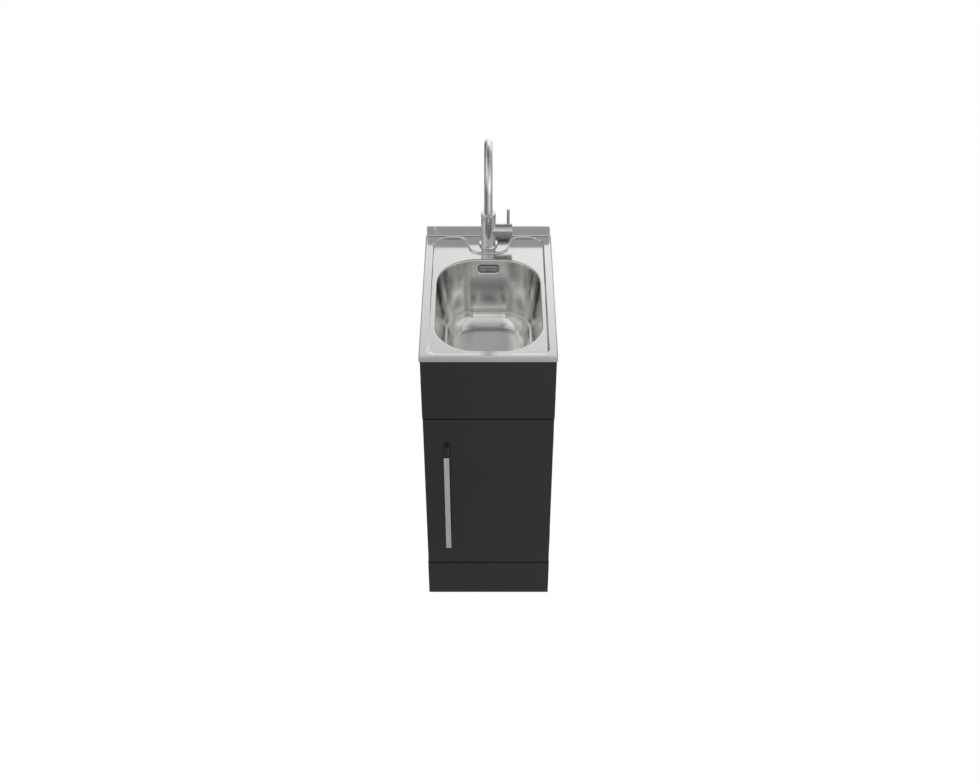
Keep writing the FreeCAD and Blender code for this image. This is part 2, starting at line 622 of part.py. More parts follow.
def make_tap():
    deck = DECK_Z
    centre = (0, TAP_Y)
    flange = Part.makeCone(TAP_FLANGE_RADIUS, TAP_FLANGE_RADIUS - 1.5, TAP_FLANGE_HEIGHT, V(0, TAP_Y, deck))
    flange = flange.cut(rod(SHANK_RADIUS, (*centre, deck - 1), Z_AXIS, TAP_FLANGE_HEIGHT + 2))
    save("tap_flange", flange)

    top = deck + TAP_BODY_TOP
    body = rod(TAP_BODY_RADIUS, (*centre, deck + TAP_FLANGE_HEIGHT), Z_AXIS, TAP_BODY_TOP - TAP_FLANGE_HEIGHT)
    rim = [e for e in body.Edges if abs(e.CenterOfMass.z - top) < 1e-6 and e.Closed]
    body = body.makeFillet(1.5, rim)
    shank = rod(SHANK_RADIUS, (*centre, deck - SHANK_LENGTH), Z_AXIS, SHANK_LENGTH + TAP_FLANGE_HEIGHT + 1)
    axis_z = deck + LEVER_Z
    port = rod(DOME_RADIUS, (0, TAP_Y, axis_z), X_AXIS, LEVER_PIVOT_X)
    dome = Part.makeSphere(DOME_RADIUS, V(LEVER_PIVOT_X, TAP_Y, axis_z))
    body = body.fuse(shank).fuse(port.fuse(dome))
    body = body.cut(rod(DOME_BORE, (14.0, TAP_Y, axis_z), X_AXIS, 60.0))
    body = body.cut(rod(SHANK_BORE, (*centre, deck - SHANK_LENGTH - 1), Z_AXIS, SHANK_LENGTH + 30.0))
    body = body.cut(rod(SPOUT_RADIUS + SPOUT_FIT, (*centre, top - SPOUT_SOCKET_DEPTH), Z_AXIS, 40.0))
    save("tap_body", body)
    save("spout_collar", tube(COLLAR_RADIUS, SPOUT_RADIUS + SPOUT_FIT, (*centre, top), Z_AXIS, COLLAR_HEIGHT))

    arc_z = deck + SPOUT_ARC_Z
    foot_z = top - SPOUT_SOCKET_DEPTH
    front_y = TAP_Y - 2 * SPOUT_REACH

    def spout_form(radius):
        riser = rod(radius, (0, TAP_Y, foot_z), Z_AXIS, arc_z - foot_z)
        leg = rod(radius, (0, front_y, deck + SPOUT_END_Z), Z_AXIS, SPOUT_ARC_Z - SPOUT_END_Z)
        ring = Part.makeTorus(SPOUT_REACH, radius, V(0, TAP_Y - SPOUT_REACH, arc_z), V(1, 0, 0))
        upper = box(-20, 20, front_y - 20, TAP_Y + 20, arc_z, arc_z + 120)
        return riser.fuse(ring.common(upper)).fuse(leg)

    save("spout", spout_form(SPOUT_RADIUS).cut(spout_form(SPOUT_RADIUS - SPOUT_WALL)))
    nozzle_z = deck + AERATOR_END_Z
    nozzle = rod(AERATOR_RADIUS, (0, front_y, nozzle_z), Z_AXIS, SPOUT_END_Z - AERATOR_END_Z)
    nozzle = nozzle.cut(rod(9.0, (0, front_y, nozzle_z - 1), Z_AXIS, 4.0))
    save("aerator", nozzle.cut(rod(3.0, (0, front_y, nozzle_z), Z_AXIS, SPOUT_END_Z - AERATOR_END_Z + 1)))

    save("tap_washer", tube(22.0, SHANK_RADIUS, (*centre, deck - SHEET - 3.0), Z_AXIS, 3.0))
    backnut = tube(22.0, SHANK_RADIUS, (*centre, deck - SHEET - 13.0), Z_AXIS, 10.0)
    hexagon = Part.Wire(Part.makePolygon([
        V(22.0 * math.cos(math.radians(60 * i)), TAP_Y + 22.0 * math.sin(math.radians(60 * i)), deck - 20)
        for i in range(7)]))
    save("tap_backnut", backnut.common(prism(hexagon, 30.0)))

    save("cartridge", rod(DOME_BORE - 0.1, (14.1, TAP_Y, axis_z), X_AXIS, 14.0))
    stem = rod(9.0, (28.3, TAP_Y, axis_z), X_AXIS, 3.2)
    for sign in (-1, 1):
        y0, y1 = sorted((TAP_Y + sign * 4.0, TAP_Y + sign * 7.5))
        stem = stem.fuse(box(31.0, LEVER_PIVOT_X + 3.5, y0, y1, axis_z - 3.5, axis_z + 3.5))
    stem = stem.cut(rod(PIVOT_RADIUS, (LEVER_PIVOT_X, TAP_Y - 10, axis_z), Y_AXIS, 20.0))
    save("cartridge_stem", stem)
    save("lever_pivot", rod(PIVOT_RADIUS, (LEVER_PIVOT_X, TAP_Y - 7.5, axis_z), Y_AXIS, 15.0))

    hub = rod(HUB_RADIUS, (HUB_START_X, TAP_Y, axis_z), X_AXIS, HUB_END_X - HUB_START_X)
    ends = [e for e in hub.Edges if abs(e.CenterOfMass.x - HUB_END_X) < 1e-6 and e.Closed]
    hub = hub.makeFillet(1.5, ends)
    hub = hub.cut(Part.makeSphere(HUB_CAVITY, V(LEVER_PIVOT_X, TAP_Y, axis_z)))
    tongue = rod(TONGUE_RADIUS, (LEVER_PIVOT_X, TAP_Y, axis_z), X_AXIS, HUB_END_X - LEVER_PIVOT_X - 5)
    eye = rod(EYE_RADIUS, (LEVER_PIVOT_X, TAP_Y - 3.5, axis_z), Y_AXIS, 7.0)
    hub = hub.fuse(tongue).fuse(eye)
    hub = hub.cut(rod(PIVOT_RADIUS + PIVOT_FIT, (LEVER_PIVOT_X, TAP_Y - 10, axis_z), Y_AXIS, 20.0))
    pin_foot = (LEVER_PIN_X, TAP_Y, deck + LEVER_PIN_FOOT)
    pin = rod(LEVER_PIN_RADIUS, pin_foot, Z_AXIS, LEVER_PIN_TOP - LEVER_PIN_FOOT)
    hub = hub.cut(pin)
    save("lever_hub", hub)
    tip = [e for e in pin.Edges if abs(e.CenterOfMass.z - deck - LEVER_PIN_TOP) < 1e-6 and e.Closed]
    save("lever_pin", pin.makeFillet(0.8, tip))

    tails = []
    for sign in (-1, 1):
        route = [(sign * 10.0, 230.0, 745.0), (sign * 10.0, 230.0, 775.0), (sign * 6.0, TAP_Y, 805.0)]
        route += [(sign * 6.0, TAP_Y, 840.0), (sign * 6.0, TAP_Y, 880.0)]
        tails.append(tail(route))
    save("tap_tails", *tails)
    block = box(-18.0, 18.0, 222.0, 238.0, 715.0, 745.0)
    block = block.makeFillet(2.0, [e for e in block.Edges if abs(e.tangentAt(e.FirstParameter).z) > 0.9])
    save("tee_fitting", block.fuse(rod(8.0, (0, 230.0, 700.0), Z_AXIS, 16.0)))


def tail(route):
    """Flexible tail: its last three points lie in line inside the tap's shank."""
    straight = rod(4.5, route[3], Z_AXIS, route[4][2] - route[3][2])
    return hose(route[:4], 4.5).fuse(straight).removeSplitter()


def make_can(sign):
    x = sign * CAN_X
    half = CAN_WIDTH / 2
    shell = box(x - half, x + half, CAN_FRONT_Y, CAN_BACK_Y, SHELF_TOP, CAN_BODY_TOP)
    shell = shell.makeFillet(16.0, shell.Edges)
    w = CAN_WALL
    inside = box(x - half + w, x + half - w, CAN_FRONT_Y + w, CAN_BACK_Y - w, SHELF_TOP + w, CAN_BODY_TOP - w)
    inside = inside.makeFillet(14.0, inside.Edges)
    neck = rod(CAN_NECK_RADIUS, (x, CAN_NECK_Y, CAN_BODY_TOP - 4), Z_AXIS, CAP_BOTTOM - CAN_BODY_TOP + 4)
    grip = box(x - 13, x + 13, -120.0, 25.0, CAN_BODY_TOP - 4, CAN_HANDLE_TOP)
    upper = [e for e in grip.Edges if abs(e.CenterOfMass.z - CAN_HANDLE_TOP) < 1e-6]
    grip = grip.makeFillet(8.0, upper)
    gap = box(x - 20, x + 20, -98.0, 3.0, CAN_BODY_TOP, CAN_HANDLE_TOP - 20)
    mouth = rod(CAN_NECK_RADIUS - 4, (x, CAN_NECK_Y, CAN_BODY_TOP - 10), Z_AXIS, 40.0)
    return shell.fuse(neck).fuse(grip.cut(gap)).cut(inside).cut(mouth)


def make_cans():
    save("fresh_water_can", make_can(-1))
    save("waste_water_can", make_can(1))
    caps = []
    for sign, bore in ((-1, HOSE_RADIUS), (1, 12.0)):
        cap = rod(CAP_RADIUS, (sign * CAN_X, CAN_NECK_Y, CAP_BOTTOM), Z_AXIS, CAP_TOP - CAP_BOTTOM)
        for index in range(16):
            angle = 2 * math.pi * index / 16
            x = sign * CAN_X + (CAP_RADIUS + 1.0) * math.cos(angle)
            y = CAN_NECK_Y + (CAP_RADIUS + 1.0) * math.sin(angle)
            cap = cap.cut(rod(2.2, (x, y, CAP_BOTTOM - 1), Z_AXIS, 30.0))
        caps.append(cap.cut(rod(bore - 2.0, (sign * CAN_X, CAN_NECK_Y, CAP_BOTTOM - 1), Z_AXIS, 30.0)))
    save("can_caps", *caps)


def make_pump():
    motor = rod(27.0, (-35.0, PUMP_Y, PUMP_Z), X_AXIS, 80.0)
    save("pump_motor", motor.makeFillet(2.0, [motor.Edges[0], motor.Edges[2]]))
    head = box(-112.0, -35.0, PUMP_Y - 32, PUMP_Y + 32, PUMP_Z - 28, PUMP_Z + 28)
    head = head.makeFillet(4.0, [e for e in head.Edges if abs(e.tangentAt(e.FirstParameter).x) > 0.9])
    for y in (PUMP_Y - 18, PUMP_Y + 18):
        head = head.fuse(rod(9.0, (-CAN_X, y, PUMP_Z + 27), Z_AXIS, 15.0))
    for y in (PUMP_Y - 22, PUMP_Y + 22):
        for x in (-100.0, -50.0):
            head = head.fuse(rod(8.0, (x, y, SHELF_TOP), Z_AXIS, PUMP_Z - 27 - SHELF_TOP))
    save("pump_head", head)
    port_z = PUMP_Z + 42.0
    route = [(-CAN_X, CAN_NECK_Y, CAP_TOP), (-CAN_X, CAN_NECK_Y, 545)]
    route += [(-CAN_X, -130, 585), (-CAN_X, -50, 597)]
    route += [(-CAN_X, 40, 590), (-CAN_X, 100, 540), (-CAN_X, 125, 440), (-CAN_X, 138, 330)]
    route += [(-CAN_X, PUMP_Y - 18, 270), (-CAN_X, PUMP_Y - 18, port_z)]
    save("suction_hose", hose(route, HOSE_RADIUS))
    route = [(-CAN_X, PUMP_Y + 18, port_z), (-CAN_X, PUMP_Y + 18, 290), (-CAN_X + 2, 200, 400)]
    route += [(-60, 222, 520), (-22, 229, 610), (0, 230, 660), (0, 230, 700.0)]
    save("pressure_hose", hose(route, HOSE_RADIUS))

    socket_x = 100.0
    socket_z = 200.0
    socket = rod(14.9, (socket_x, 262.0, socket_z), Y_AXIS, SIDE_BACK_Y - 262.0)
    rim = rod(19.0, (socket_x, SIDE_BACK_Y, socket_z), Y_AXIS, 3.0)
    well = rod(11.0, (socket_x, 272.0, socket_z), Y_AXIS, 30.0)
    socket = socket.fuse(rim).cut(well)
    for dx in (-4.0, 4.0):
        socket = socket.fuse(rod(1.6, (socket_x + dx, 270.0, socket_z), Y_AXIS, 14.0))
    save("power_socket", socket)
    route = [(45.0, PUMP_Y, PUMP_Z), (66.0, PUMP_Y, PUMP_Z), (88.0, 178.0, 188.0)]
    route += [(99.0, 208.0, 198.0), (socket_x, 236.0, socket_z), (socket_x, 262.0, socket_z)]
    save("pump_lead", hose(route, LEAD_RADIUS))


os.makedirs("parts", exist_ok=True)
make_cabinet()
make_feet()
make_hinges()
make_door()
make_deck()
make_bowl()
make_waste()
make_tap()
make_cans()
make_pump()
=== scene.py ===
"""Looks of the portable handwash sink: its stage, its materials and the detailed sink top and bowl.

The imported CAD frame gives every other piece. Lengths are in millimetres unless a comment says otherwise,
and MM turns them into Blender's metres. +Z is up, -Y is towards the user and +X is the user's right.
"""

import json
import math

import bmesh
import bpy
import numpy as np
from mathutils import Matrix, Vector


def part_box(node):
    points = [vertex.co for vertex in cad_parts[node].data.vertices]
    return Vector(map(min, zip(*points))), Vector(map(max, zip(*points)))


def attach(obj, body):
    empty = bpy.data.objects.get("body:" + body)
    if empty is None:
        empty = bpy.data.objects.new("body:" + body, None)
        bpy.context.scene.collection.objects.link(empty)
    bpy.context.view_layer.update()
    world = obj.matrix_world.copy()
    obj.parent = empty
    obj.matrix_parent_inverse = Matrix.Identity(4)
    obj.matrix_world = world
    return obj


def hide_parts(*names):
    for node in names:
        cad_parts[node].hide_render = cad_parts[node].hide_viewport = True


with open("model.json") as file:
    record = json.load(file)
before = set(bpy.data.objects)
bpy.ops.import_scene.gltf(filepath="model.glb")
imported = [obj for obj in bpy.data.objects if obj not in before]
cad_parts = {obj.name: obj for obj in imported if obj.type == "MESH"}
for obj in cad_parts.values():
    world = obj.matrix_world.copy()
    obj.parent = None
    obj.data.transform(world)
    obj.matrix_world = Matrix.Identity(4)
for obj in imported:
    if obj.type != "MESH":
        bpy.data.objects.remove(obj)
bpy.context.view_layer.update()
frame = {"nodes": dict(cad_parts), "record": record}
MM = 0.001

# ---- places that come from the frame ----
DECK_BOX = [Vector(corner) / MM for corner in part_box("sink_deck")]
FLANGE_BOX = [Vector(corner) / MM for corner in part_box("tap_flange")]
PLATE_BOX = [Vector(corner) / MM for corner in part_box("overflow_plate")]
HALF_WIDTH = DECK_BOX[1].x
FRONT_Y = DECK_BOX[0].y
BACK_Y = DECK_BOX[1].y
DECK_Z = FLANGE_BOX[0].z
UPSTAND_TOP = DECK_BOX[1].z
LIP_BOTTOM = DECK_BOX[0].z

# ---- sheet, fold and lip ----
SHEET = 1.2
WELD = 0.02
BEND = 1.2
EDGE_RADIUS = 1.0
EDGE_TURN = math.radians(80.0)
FOLD_ROWS = 6
CURVE_ROWS = 10
CORNER_COLUMNS = 9
LIP_EDGE_RISE = 0.6
LIP_EDGE_INSET = 0.35

# ---- upstand and the cove at its foot ----
UPSTAND_THICKNESS = 5.0
UPSTAND_INSET = 2.0
UPSTAND_CORNER = 7.0
UPSTAND_ROUNDING = 1.0
CORNER_POINTS = 10
SHARP_EDGE = 1.2  # radians between two faces
COVE = 3.0
COVE_INSET = 1.2
COVE_ROWS = 8
COVE_COLUMNS = 80

# ---- pressed recess of the deck, round the tap's ledge ----
RECESS_DEPTH = 4.5
RECESS_HALF_WIDTH = 153.0
RECESS_BACK_Y = 282.25
RECESS_CORNER = 40.0
RECESS_FRONT_Y = -247.5
RECESS_FRONT_CORNER = 20.0
STEP_WIDTH = 6.0
FRONT_STEP_WIDTH = 11.0
FRONT_STEP_Y = -205.0
FRONT_STEP_BLEND = 35.0
LEDGE_OUTER_X = 83.0
LEDGE_OUTER_RADIUS = 20.0
LEDGE_INNER_RADIUS = 30.0
LEDGE_FRONT_Y = 203.25
LEDGE_SLANT = math.radians(14.4)

# ---- points along the deck's edges, closer together behind TAP_END_Y, and rows from edge to rim ----
TAP_END_Y = 195.0
BACK_COLUMNS = 280
TAP_END_COLUMNS = 70
SIDE_COLUMNS = 180
FRONT_COLUMNS = 140
DECK_ROWS = 96

# ---- bowl ----
BOWL_Y = -28.25
CORE_X = 31.0
CORE_Y = 94.0
RIM_RADIUS = 108.0
RIM_FLAT = 4.0
ROLL = 4.2
ROLL_TURN = math.radians(85.0)
ROLL_ROWS = 14
WALL_ANGLE = 8.0
WALL_LEAN = math.tan(math.radians(WALL_ANGLE))
WALL_TOP_DEPTH = 9.0
WALL_TOP_SHARES = (0.1, 0.8, 1.0)
# down the wall, over the ring's step and down the slope to the floor
BOWL_SECTION = (
    # length, first angle, last angle, rows; angles in degrees from straight down
    (0.4, WALL_ANGLE, WALL_ANGLE, 1),
    (153.6, WALL_ANGLE, WALL_ANGLE, 16),
    (1.6, WALL_ANGLE, 72.0, 4),
    (2.4, 72.0, 72.0, 2),
    (1.6, 72.0, 16.0, 4),
    (45.0, 16.0, 60.0, 26),
    (3.2, 60.0, 87.5, 6),
)
FLOOR_DEPTH = 203.0
FLOOR_ROWS = 15
DRAIN_Y = -48.75
DRAIN_RADIUS = 26.0
DRAIN_RINGS = (42.0, 38.0, 34.0, 30.0, DRAIN_RADIUS)

# ---- overflow ----
OVERFLOW_GAP = 1.2
OVERFLOW_CORNER = 7.0
OVERFLOW_CUT_FRONT = 14.0
OVERFLOW_CUT_BACK = 10.0
RIB_SPACING = 10.5
RIB_LENGTH = 42.0
RIB_HEIGHT = 3.0
RIB_RADIUS = 1.45
RIB_RELIEF = 1.2
RIB_SUNK = 0.3
RIB_EDGE = 0.5

# ---- camera, in metres and degrees, and floor, in metres ----
CAMERA_LENS = 50.0
CAMERA_SENSOR = 36.0
CAMERA_X = 0.0042
CAMERA_Y = -2.93825
CAMERA_ABOVE_DECK = 2.131
CAMERA_TILT = 50.0
FLOOR_HALF_SIZE = 14.0

# ---- softened edges of the boards ----
BOARD_EDGE = 0.5
BOARD_SLOTS = ("dark_board", "carcass_board", "back_board")


def linked(name, mesh):
    """New object of the mesh, in the scene."""
    piece = bpy.data.objects.new(name, mesh)
    bpy.context.collection.objects.link(piece)
    return piece


def mesh_object(name, vertices, faces, smooth=True):
    mesh = bpy.data.meshes.new(name)
    mesh.from_pydata([tuple(v) for v in vertices], [], [tuple(f) for f in faces])
    mesh.update()
    if smooth:
        mesh.polygons.foreach_set("use_smooth", [True] * len(mesh.polygons))
    return linked(name, mesh)


def grid_faces(rows, columns, close_columns=False):
    """Quads of a rows by columns sheet of vertices, numbered row by row."""
    last = columns if close_columns else columns - 1
    faces = []
    for row in range(rows - 1):
        for column in range(last):
            following = (column + 1) % columns
            a = row * columns + column
            b = row * columns + following
            faces.append((a, b, b + columns, a + columns))
    return faces


def smoothstep(t):
    """Step from 0 to 1, level at both ends."""
    t = np.clip(t, 0.0, 1.0)
    return t * t * (3 - 2 * t)


def smootherstep(t):
    """Step from 0 to 1, level and without curvature at both ends."""
    t = np.clip(t, 0.0, 1.0)
    return t * t * t * (t * (6 * t - 15) + 10)


# ---------------------------------------------------------------- stage

# brightness of the floor and the world to the camera
CAMERA_WHITE = 1.0
# brightness of the grey studio: one line for each azimuth, one value for each elevation, in degrees;
# azimuth 0 is the side that the camera is on and 90 is towards +X
ELEVATIONS = (-90, -45, -33, -22, -10, 0, 12, 24, 34, 40, 48, 60, 75, 90)
STUDIO = {
    -150: (0.33, 0.30, 0.26, 0.22, 0.18, 0.18, 0.18, 0.36, 0.58, 0.46, 0.32, 0.25, 0.18, 0.14),
    -120: (0.33, 0.38, 0.42, 0.36, 0.32, 0.28, 0.26, 0.32, 0.52, 0.50, 0.40, 0.28, 0.20, 0.14),
    -90: (0.33, 0.28, 0.28, 0.28, 0.32, 0.42, 0.43, 0.45, 0.85, 0.80, 0.60, 0.50, 0.35, 0.14),
    -60: (0.33, 0.15, 0.11, 0.14, 0.32, 0.52, 0.75, 0.90, 0.95, 0.92, 0.85, 0.62, 0.40, 0.14),
    -30: (0.33, 0.36, 0.36, 0.36, 0.50, 0.64, 0.71, 0.83, 0.82, 0.75, 0.66, 0.35, 0.22, 0.14),
    0: (0.35, 0.38, 0.50, 0.62, 0.70, 0.72, 0.68, 0.60, 0.58, 0.55, 0.50, 0.42, 0.34, 0.20),
    30: (0.35, 0.50, 0.80, 1.10, 1.18, 1.10, 0.95, 0.72, 0.55, 0.50, 0.45, 0.35, 0.20, 0.14),
    60: (0.33, 0.33, 0.42, 0.72, 0.85, 0.88, 0.81, 0.68, 0.60, 0.60, 0.55, 0.28, 0.18, 0.14),
    90: (0.33, 0.30, 0.31, 0.38, 0.40, 0.39, 0.40, 0.36, 0.40, 0.45, 0.50, 0.40, 0.30, 0.14),
    120: (0.33, 0.30, 0.36, 0.38, 0.38, 0.36, 0.34, 0.38, 0.42, 0.42, 0.42, 0.30, 0.20, 0.14),
    150: (0.33, 0.26, 0.36, 0.44, 0.75, 0.88, 0.82, 0.88, 0.92, 0.62, 0.45, 0.28, 0.17, 0.14),
    180: (0.35, 0.38, 0.45, 0.60, 0.85, 1.05, 1.12, 1.08, 1.00, 0.64, 0.36, 0.25, 0.18, 0.14),
}
COLUMN_SPACING = math.radians(30.0)
STUDIO_LEVEL = 1.25
# the half of the studio on the +X side is this much brighter and the other as much dimmer,
# with a smooth step between them over this much of the direction's X
SIDE_GAIN = 0.08
SIDE_BAND = 0.10


def make_world(scene):
    """Grey studio of the STUDIO tones, seen only in reflections and by its light; white to the camera."""
    world = bpy.data.worlds.new("studio")
    scene.world = world
    world.use_nodes = True
    tree = world.node_tree
    background = tree.nodes["Background"]

    def node(kind, **settings):
        made = tree.nodes.new(kind)
        for key, value in settings.items():
            setattr(made, key, value)
        return made

    def math_node(operation, first, second):
        made = node("ShaderNodeMath", operation=operation)
        for socket, value in zip(made.inputs, (first, second)):
            if isinstance(value, float):
                socket.default_value = value
            else:
                tree.links.new(value, socket)
        return made.outputs[0]

    place = node("ShaderNodeTexCoord")
    split = node("ShaderNodeSeparateXYZ")
    tree.links.new(place.outputs["Generated"], split.inputs[0])
    level = math_node("MULTIPLY_ADD", split.outputs["Z"], 0.5)
    level.node.inputs[2].default_value = 0.5
    turn = math_node("ARCTAN2", split.outputs["X"], math_node("MULTIPLY", split.outputs["Y"], -1.0))

    def faded(value, low, high, at_low, at_high):
        """Smooth step from at_low, where value is low, to at_high, where it is high."""
        made = node("ShaderNodeMapRange", interpolation_type="SMOOTHSTEP")
        limits = {"From Min": low, "From Max": high, "To Min": at_low, "To Max": at_high}
        for key, number in limits.items():
            made.inputs[key].default_value = number
        tree.links.new(value, made.inputs["Value"])
        return made.outputs["Result"]

    def column(azimuth, values):
        """Brightness up one azimuth, faded out towards its two neighbours."""
        made = node("ShaderNodeValToRGB")
        band = made.color_ramp
        while len(band.elements) < len(values):
            band.elements.new(0.5)
        for element, height, value in zip(band.elements, ELEVATIONS, values):
            element.position = (math.sin(math.radians(height)) + 1) / 2
            element.color = (value, value, value, 1.0)
        tree.links.new(level, made.inputs["Fac"])
        away = math_node("WRAP", math_node("SUBTRACT", turn, math.radians(azimuth)), math.pi)
        away.node.inputs[2].default_value = -math.pi
        share = faded(math_node("ABSOLUTE", away, 0.0), 0.0, COLUMN_SPACING, 1.0, 0.0)
        return math_node("MULTIPLY", made.outputs["Color"], share)

    total = math_node("ADD", 0.0, 0.0)
    for azimuth, values in STUDIO.items():
        total = math_node("ADD", total, column(azimuth, values))
    side = faded(split.outputs["X"], -SIDE_BAND, SIDE_BAND, 1 - SIDE_GAIN, 1 + SIDE_GAIN)
    total = math_node("MULTIPLY", total, side)
    total = math_node("MULTIPLY", total, STUDIO_LEVEL)
    path = node("ShaderNodeLightPath")
    seen = node("ShaderNodeMix", data_type="FLOAT")
    tree.links.new(path.outputs["Is Camera Ray"], seen.inputs["Factor"])
    tree.links.new(total, seen.inputs["A"])
    seen.inputs["B"].default_value = CAMERA_WHITE
    background.inputs["Color"].default_value = (1.0, 1.0, 1.0, 1.0)
    tree.links.new(seen.outputs["Result"], background.inputs["Strength"])


def make_camera(scene):
    data = bpy.data.cameras.new("camera")
    data.lens = CAMERA_LENS
    data.sensor_width = CAMERA_SENSOR
    camera = bpy.data.objects.new("camera", data)
    camera.location = (CAMERA_X, CAMERA_Y, DECK_Z * MM + CAMERA_ABOVE_DECK)
    camera.rotation_euler = (math.radians(CAMERA_TILT), 0.0, 0.0)
    bpy.context.collection.objects.link(camera)
    scene.camera = camera


def make_floor():
    """White floor that only the camera sees."""
    size = FLOOR_HALF_SIZE
    corners = [(-size, -size, 0), (size, -size, 0), (size, size, 0), (-size, size, 0)]
    floor = mesh_object("floor", corners, [(0, 1, 2, 3)])
    material = bpy.data.materials.new("floor")
    material.use_nodes = True
    nodes = material.node_tree.nodes
    nodes.clear()
    output = nodes.new("ShaderNodeOutputMaterial")
    glow = nodes.new("ShaderNodeEmission")
    glow.inputs["Strength"].default_value = CAMERA_WHITE
    material.node_tree.links.new(glow.outputs[0], output.inputs["Surface"])
    floor.data.materials.append(material)
    floor.visible_diffuse = False
    floor.visible_glossy = False
    floor.visible_transmission = False


def make_stage():
    scene = bpy.context.scene
    scene.view_settings.view_transform = "Standard"
    scene.view_settings.look = "None"
    scene.view_settings.exposure = 0.0
    make_camera(scene)
    make_world(scene)
    make_floor()


# ---------------------------------------------------------------- materials

class Shader:
    """A small helper round one node material."""

    def __init__(self, name, colour, roughness, metallic=0.0, ior=None):
        self.material = bpy.data.materials.new(name)
        self.material.use_nodes = True
        self.tree = self.material.node_tree
        self.surface = self.tree.nodes["Principled BSDF"]
        self.set("Base Color", (*colour, 1.0))
        self.set("Metallic", metallic)
        self.set("Roughness", roughness)
        if ior:
            self.set("IOR", ior)

    def set(self, socket, value):
        self.surface.inputs[socket].default_value = value

    def node(self, kind, **inputs):
        made = self.tree.nodes.new(kind)
        for key, value in inputs.items():
            made.inputs[key].default_value = value
        return made

    def link(self, source, target):
        self.tree.links.new(source, target)

    def coordinates(self, scale=(1.0, 1.0, 1.0)):
        place = self.node("ShaderNodeTexCoord")
        mapping = self.node("ShaderNodeMapping")
        mapping.inputs["Scale"].default_value = scale
        self.link(place.outputs["Object"], mapping.inputs["Vector"])
        return mapping.outputs["Vector"]

    def noise(self, vector, scale, detail=3.0):
        """Noise with this many cells to the metre."""
        made = self.node("ShaderNodeTexNoise", Scale=scale, Detail=detail)
        self.link(vector, made.inputs["Vector"])
        return made.outputs["Fac"]

    def roughen(self, value, low, high, start=0.3, end=0.7):
        """Roughness from low to high as the value goes from start to end."""
        made = self.node("ShaderNodeMapRange")
        for socket, number in (("From Min", start), ("From Max", end), ("To Min", low), ("To Max", high)):
            made.inputs[socket].default_value = number
        self.link(value, made.inputs["Value"])
        self.link(made.outputs["Result"], self.surface.inputs["Roughness"])

    def tint(self, value, dark, light, start=0.3, end=0.7):
        """Colour from dark to light as the value goes from start to end."""
        ramp = self.node("ShaderNodeValToRGB")
        ramp.color_ramp.elements[0].position = start
        ramp.color_ramp.elements[1].position = end
        ramp.color_ramp.elements[0].color = (*dark, 1.0)
        ramp.color_ramp.elements[1].color = (*light, 1.0)
        self.link(value, ramp.inputs["Fac"])
        self.link(ramp.outputs["Color"], self.surface.inputs["Base Color"])

    def bump(self, value, strength, distance):
        """Relief from the value; distance is in metres."""
        made = self.node("ShaderNodeBump", Strength=strength, Distance=distance)
        self.link(value, made.inputs["Height"])
        self.link(made.outputs["Normal"], self.surface.inputs["Normal"])


def shade(colour, factor):
    """The colour made lighter or darker by a factor."""
    return tuple(min(1.0, channel * factor) for channel in colour)


def steel(name, colour, roughness, grain, spread=0.03, relief=0.00002):
    """Brushed sheet: long fine scratches along one axis vary gloss and height."""
    look = Shader(name, colour, roughness, metallic=1.0)
    scratches = look.noise(look.coordinates(grain), scale=1.0, detail=4.0)
    clouds = look.noise(look.coordinates(), scale=9.0, detail=2.0)
    mix = look.node("ShaderNodeMath")
    mix.operation = "ADD"
    look.link(scratches, mix.inputs[0])
    look.link(clouds, mix.inputs[1])
    look.roughen(mix.outputs[0], roughness - spread, roughness + spread, start=0.7, end=1.3)
    look.tint(mix.outputs[0], shade(colour, 0.96), shade(colour, 1.03), start=0.7, end=1.3)
    look.bump(scratches, strength=0.15, distance=relief)
    return look.material


def moulded(name, colour, roughness=0.45, scale=900.0, strength=0.15):
    """Moulded plastic or rubber with a fine sparked texture."""
    look = Shader(name, colour, roughness)
    vector = look.coordinates()
    fine = look.noise(vector, scale, detail=2.0)
    broad = look.noise(vector, scale=22.0)
    look.tint(broad, shade(colour, 0.9), shade(colour, 1.08))
    look.roughen(broad, roughness - 0.05, roughness + 0.06)
    look.bump(fine, strength, distance=0.0001)
    return look.material


def board(name, colour, roughness, ior, strength=0.04):
    """Laminated board: near-black satin face with a very fine pearl texture."""
    look = Shader(name, colour, roughness, ior=ior)
    vector = look.coordinates()
    pearl = look.noise(vector, scale=700.0, detail=2.0)
    broad = look.noise(vector, scale=6.0)
    look.tint(broad, shade(colour, 0.93), shade(colour, 1.07))
    look.roughen(broad, roughness - 0.015, roughness + 0.015)
    look.bump(pearl, strength, distance=0.00003)
    return look.material


def plated(name, colour, roughness=0.32):
    """Plated or machined metal with a cloudy surface."""
    look = Shader(name, colour, roughness, metallic=1.0)
    cloud = look.noise(look.coordinates(), scale=120.0, detail=4.0)
    look.tint(cloud, shade(colour, 0.85), shade(colour, 1.05))
    look.roughen(cloud, roughness - 0.07, roughness + 0.1)
    look.bump(cloud, strength=0.08, distance=0.00005)
    return look.material


def polished(name, colour, roughness):
    """Polished metal: its gloss varies a little, and it has no relief."""
    look = Shader(name, colour, roughness, metallic=1.0)
    cloud = look.noise(look.coordinates(), scale=35.0)
    look.roughen(cloud, roughness * 0.8, roughness * 1.25)
    look.tint(cloud, shade(colour, 0.985), colour)
    return look.material


